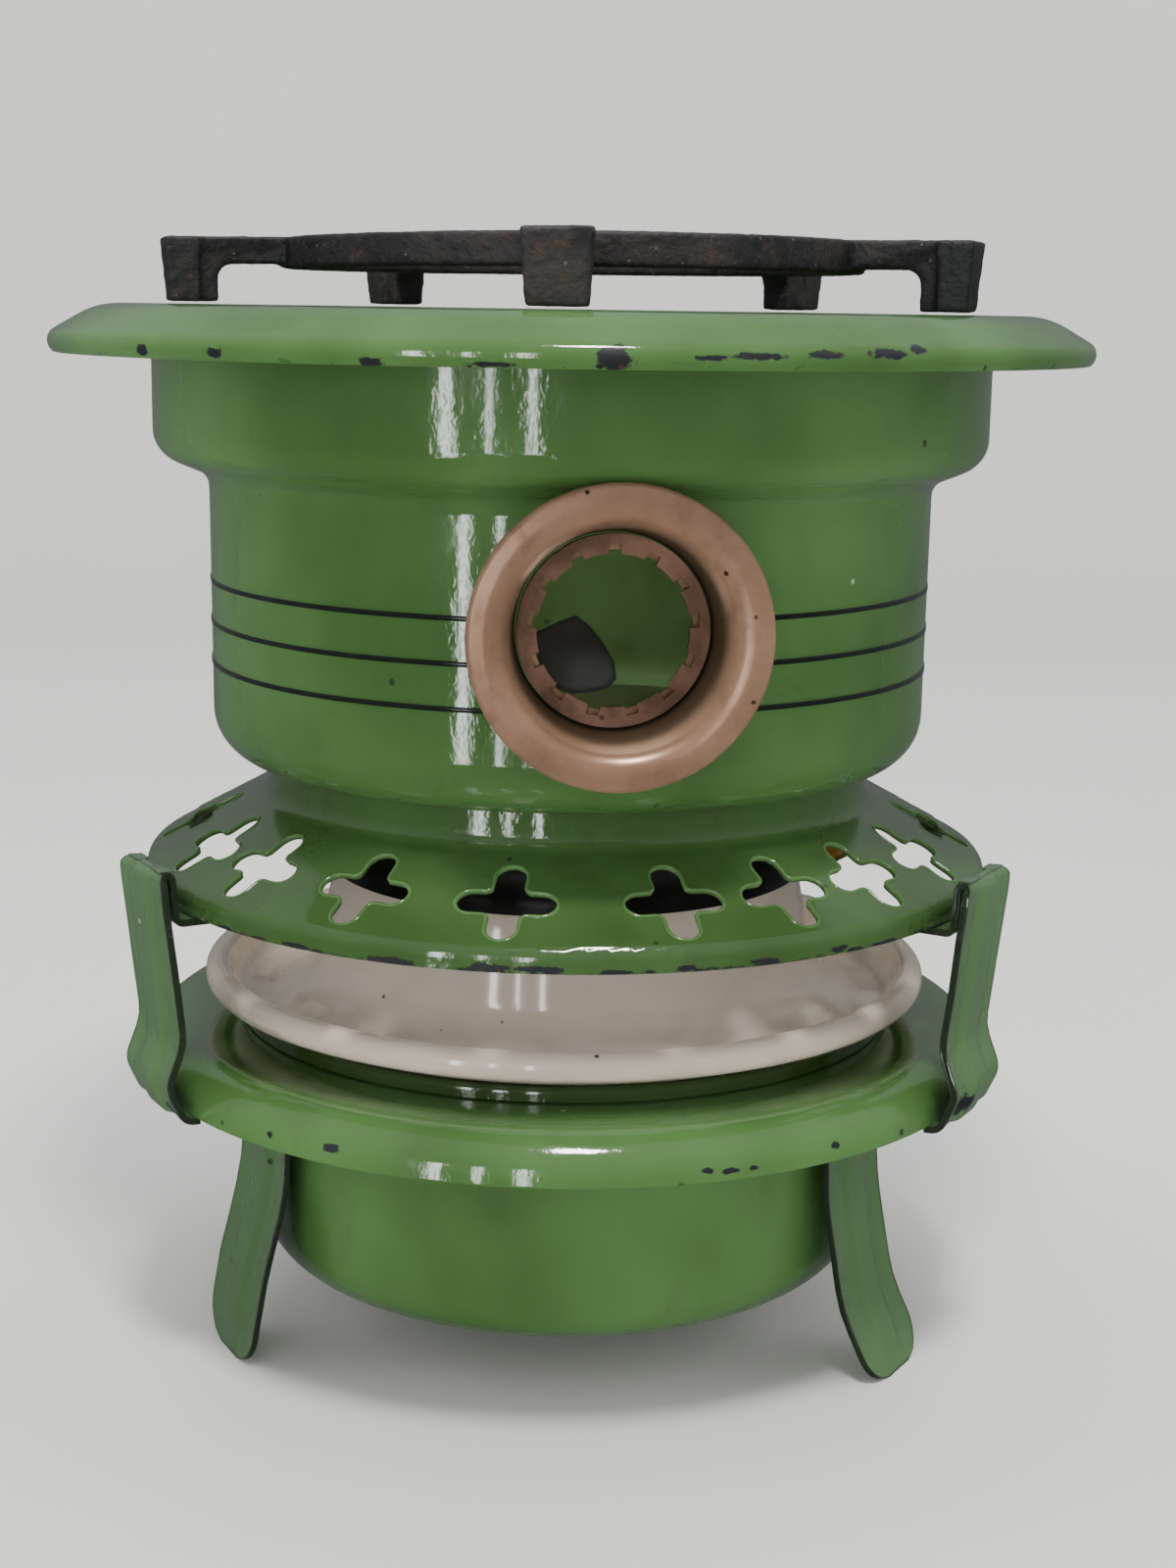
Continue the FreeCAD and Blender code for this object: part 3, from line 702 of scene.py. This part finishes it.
def make_hole_lips(material):
    """Puckered rims of enamel round the air holes of the skirt."""
    slope = math.radians(29.0)
    down = Vector((math.cos(slope), 0, -math.sin(slope)))
    out = Vector((math.sin(slope), 0, math.cos(slope)))
    base = Vector((67.7, 0, 93.4))
    mesh = bmesh.new()
    for number, azimuth in enumerate(hole_azimuths()):
        turn = Matrix.Rotation(math.radians(azimuth - 90), 4, "Z")
        loops = []
        for point, way in plus_outline():
            spot = base + down * point.x + Vector((0, point.y, 0))
            drop = (math.hypot(spot.x, spot.y) - spot.x) * math.sin(slope)
            side = down * way.x + Vector((0, way.y, 0))
            swell = 0.36 + 0.12 * noise.noise(Vector((point.x * 0.4, point.y * 0.4, number * 3.1)))
            middle = spot - out * (drop + 0.12) + side * 0.14
            section = [middle + (side * math.cos(a) + out * math.sin(a)) * swell
                       for a in (math.radians(45 * k) for k in range(8))]
            loops.append([mesh.verts.new(turn @ (corner * MM)) for corner in section])
        skin(mesh, loops)
    bmesh.ops.remove_doubles(mesh, verts=mesh.verts, dist=0.01 * MM)
    bmesh.ops.recalc_face_normals(mesh, faces=mesh.faces)
    new_piece("air_hole_lips", finished(mesh, "hole_lips"), "mantle", material)


# ---------------------------------------------------------------- the stove
def finish_node(node, material):
    """Puts a finish on a CAD node."""
    piece = NODES[node]
    piece.data.materials.clear()
    piece.data.materials.append(material)


# Where each enamelled sheet is worn along its rim: 1 on the rim
def brim_edge(tree, z, radius):
    return calc(tree, "MULTIPLY", near(tree, z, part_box("tank_bowl")[1].z - 0.0082, 0.0022),
                step(tree, radius, 0.076, 0.0785))


def plate_edge(tree, z, radius):
    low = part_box("top_plate")[0].z
    return calc(tree, "MULTIPLY", step(tree, z, low + 0.0035, low), step(tree, radius, 0.0905, 0.092))


def gallery_edge(tree, z, radius):
    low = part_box("air_gallery")[0].z
    return step(tree, z, low + 0.0016, low + 0.0002)


# Single chips: azimuth in degrees, height, half length and half height in millimetres. Most azimuths and
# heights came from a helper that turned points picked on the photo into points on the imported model.
PLATE_CHIPS = ((-86.4, 179.8, 2.4, 1.9), (-108.4, 178.5, 1.6, 0.9), (-125.1, 179.4, 1.3, 0.9),
               (-135.5, 179.4, 1.2, 1.0), (-77.7, 179.9, 2.0, 0.5), (-73.0, 180.2, 4.0, 0.6),
               (-66.5, 180.5, 3.5, 0.6), (-60.0, 180.7, 3.5, 0.8), (-56.1, 181.3, 1.6, 0.7),
               (-97.0, 178.6, 3.0, 0.4))
GALLERY_CHIPS = ((-110.6, 84.9, 4.6, 0.9), (-99.0, 85.1, 3.6, 0.9), (-93.4, 85.4, 5.4, 0.5),
                 (-84.0, 84.9, 2.4, 0.5), (-75.8, 85.2, 2.0, 0.6), (-66.0, 85.3, 3.0, 0.5),
                 (-124.0, 85.0, 3.0, 0.5), (-55.0, 85.4, 2.0, 0.6))
BRIM_CHIPS = ((-72.8, 51.6, 1.0, 0.5), (-70.0, 51.2, 1.6, 0.5), (-66.8, 51.2, 1.0, 0.5),
              (-118.5, 52.4, 1.5, 0.8), (-128.0, 52.0, 0.8, 0.6), (-55.0, 52.2, 1.2, 0.6))
POST_CHIPS = ((-33.5, 52.6, 3.2, 2.0), (-27.0, 50.4, 2.0, 0.8), (-146.0, 50.6, 2.2, 0.8))


def dress():
    brass = aged_metal("aged_brass", rgb(176, 140, 82), rgb(122, 92, 54), 0.32)
    dark_copper = aged_metal("burnt_copper", rgb(158, 120, 102), rgb(112, 84, 66), 0.42, 0.5)
    finish_node("tank_bowl", enamel("bowl_enamel", brim_edge, 0.30, singles=BRIM_CHIPS))
    finish_node("top_plate", enamel("plate_enamel", plate_edge, 0.36, singles=PLATE_CHIPS))
    # Painted shade darkens the mantle a little and the gallery much, where they lie in shadow under the
    # plate and the belly
    finish_node("mantle_shell", enamel("mantle_enamel", painted_shade=0.12))
    finish_node("air_gallery", enamel("gallery_enamel", gallery_edge, 0.45, singles=GALLERY_CHIPS, grimy=0.6,
                                      painted_shade=0.45))
    finish_node("burner_deck", white_enamel())
    # Painted shade: the locating ring is darkened to match the ledge in the deck's shadow
    finish_node("locating_ring", enamel("ring_enamel", painted_shade=0.7))
    finish_node("burner_collar", aged_metal("burnt_steel", rgb(30, 29, 30), rgb(18, 16, 15), 0.3, 0.4))
    for node in ("burner_cup", "air_cage", "outer_wick_tube", "inner_wick_tube",
                 "flame_spreader", "wick_wheels", "shaft_bushing", "wick_knob"):
        finish_node(node, brass)
    finish_node("wick_shaft", aged_metal("shaft_steel", rgb(150, 148, 142), rgb(110, 106, 98), 0.3))
    finish_node("wick", cotton())
    finish_node("window_ring", copper())
    finish_node("pane_retainer", dark_copper)
    finish_node("pane_washer", dark_copper)
    finish_node("mica_pane", mica())
    # Painted shade: the legs and posts are darkened a little, as they lie in the plate's shadow
    strip = enamel("strip_enamel", amount=0.36, grey=0.5, edge_name="edge", singles=POST_CHIPS, painted_shade=0.12)
    for side, azimuth in STATIONS.items():
        make_leg(side, azimuth + LEG_TURN, strip)
        make_post(side, azimuth, strip)
    make_trivet(cast_iron())
    make_lines(black_line())
    make_hole_lips(enamel("lip_enamel", grimy=0.1))
    make_flake(dark_flake_mica())


# ---------------------------------------------------------------- stage
def make_stage():
    """Pale floor that turns up into a round backdrop."""
    profile = rounded([(0.0, 0.0, 0.0), (1500.0, 0.0, 450.0), (1500.0, 1900.0, 0.0)], 60.0)
    steps = 96
    mesh = bmesh.new()
    middle = mesh.verts.new((0, 0, 0))
    loops = []
    for i in range(steps):
        a = 2 * math.pi * i / steps
        loops.append([mesh.verts.new((p.x * MM * math.cos(a), p.x * MM * math.sin(a), p.y * MM))
                      for p in profile[1:]])
    for a, b in zip(loops, loops[1:] + loops[:1]):
        mesh.faces.new((middle, a[0], b[0]))
        for k in range(len(a) - 1):
            mesh.faces.new((a[k], a[k + 1], b[k + 1], b[k]))
    data = finished(mesh, "floor")
    floor = bpy.data.objects.new("floor", data)
    bpy.context.scene.collection.objects.link(floor)
    for face in data.polygons:
        face.use_smooth = True
    material, tree = new_material("pale_floor")
    where = place(tree)
    colour = blend(tree, clouds(tree, where, 9.0, 4.0), rgb(234, 233, 230), rgb(240, 239, 237))
    finish_shader(tree, {"Base Color": colour, "Roughness": 0.6})
    data.materials.append(material)
    floor.visible_glossy = False


def lamp(name, kind, spot, energy, size, size_y=None, colour=(1, 1, 1)):
    """Area light at a spot, aimed at the middle of the stove."""
    light = bpy.data.lights.new(name, "AREA")
    light.shape = kind
    light.size = size
    if size_y:
        light.size_y = size_y
    light.energy = energy
    light.color = colour
    lit = bpy.data.objects.new(name, light)
    bpy.context.scene.collection.objects.link(lit)
    lit.location = spot
    lit.rotation_euler = (UP * 0.09 - Vector(spot)).to_track_quat("-Z", "Y").to_euler()
    return lit


def make_lights():
    lamp("ceiling_lamp", "DISK", (0.06, -0.48, 1.1), 9.5, 0.2, colour=(1.0, 0.98, 0.95))
    wash = lamp("top_wash", "RECTANGLE", (0.0, 0.35, 1.6), 16.0, 1.6, size_y=1.2, colour=(0.95, 0.98, 1.0))
    wash.visible_glossy = False
    away = 1.3
    for azimuth, width, energy in ((-31.5, 0.07, 2.4), (-20.5, 0.035, 1.2), (-9.5, 0.05, 1.6)):
        angle = math.radians(azimuth)
        spot = (away * math.sin(angle), -away * math.cos(angle), 0.12)
        lamp("window_strip", "RECTANGLE", spot, energy, width, size_y=0.75)
    for side in (-1, 1):
        fill = lamp("side_fill", "RECTANGLE", (side * 1.1, 0.1, 0.5), 2.2, 0.6, size_y=0.8)
        fill.visible_glossy = False
    world = bpy.data.worlds.new("room")
    bpy.context.scene.world = world
    world.use_nodes = True
    tree = world.node_tree
    tree.nodes.clear()
    where = add(tree, "TexCoord").outputs["Generated"]
    axes = add(tree, "SeparateXYZ", {"Vector": where}).outputs
    rise = step(tree, axes[2], -0.2, 0.9)
    behind = step(tree, axes[1], -0.2, 0.7)
    bright = calc(tree, "ADD", calc(tree, "MULTIPLY", rise, 0.6), calc(tree, "MULTIPLY", behind, 0.1))
    level = between(tree, bright, 0.08, 0.55)
    sky = add(tree, "Background", {"Color": (0.93, 0.97, 1.0, 1), "Strength": level})
    add(tree, "OutputWorld", {"Surface": sky.outputs[0]})


# Where the stove was seen from: 428 mm in front, level with the hob plate, tipped down. Angles in radians.
CAMERA_PLACE = (0, -0.4278, 0.1867)
CAMERA_LENS = 53.45
CAMERA_PITCH, CAMERA_YAW, CAMERA_ROLL = 0.2017, 0.0092, 0.0150


def make_camera():
    pitch, yaw, roll = CAMERA_PITCH, CAMERA_YAW, CAMERA_ROLL
    forward = Vector((math.sin(yaw) * math.cos(pitch), math.cos(yaw) * math.cos(pitch), -math.sin(pitch)))
    right = Vector((math.cos(yaw), -math.sin(yaw), 0))
    above = right.cross(forward)
    tilted_right = math.cos(roll) * right + math.sin(roll) * above
    tilted_up = -math.sin(roll) * right + math.cos(roll) * above
    data = bpy.data.cameras.new("camera")
    data.lens = CAMERA_LENS
    data.sensor_width = 36.0
    data.clip_start = 0.01
    data.clip_end = 20.0
    camera = bpy.data.objects.new("camera", data)
    bpy.context.scene.collection.objects.link(camera)
    turn = Matrix((tilted_right, tilted_up, -forward)).transposed().to_4x4()
    camera.matrix_world = Matrix.Translation(CAMERA_PLACE) @ turn
    bpy.context.scene.camera = camera


make_camera()
make_stage()
make_lights()
dress()
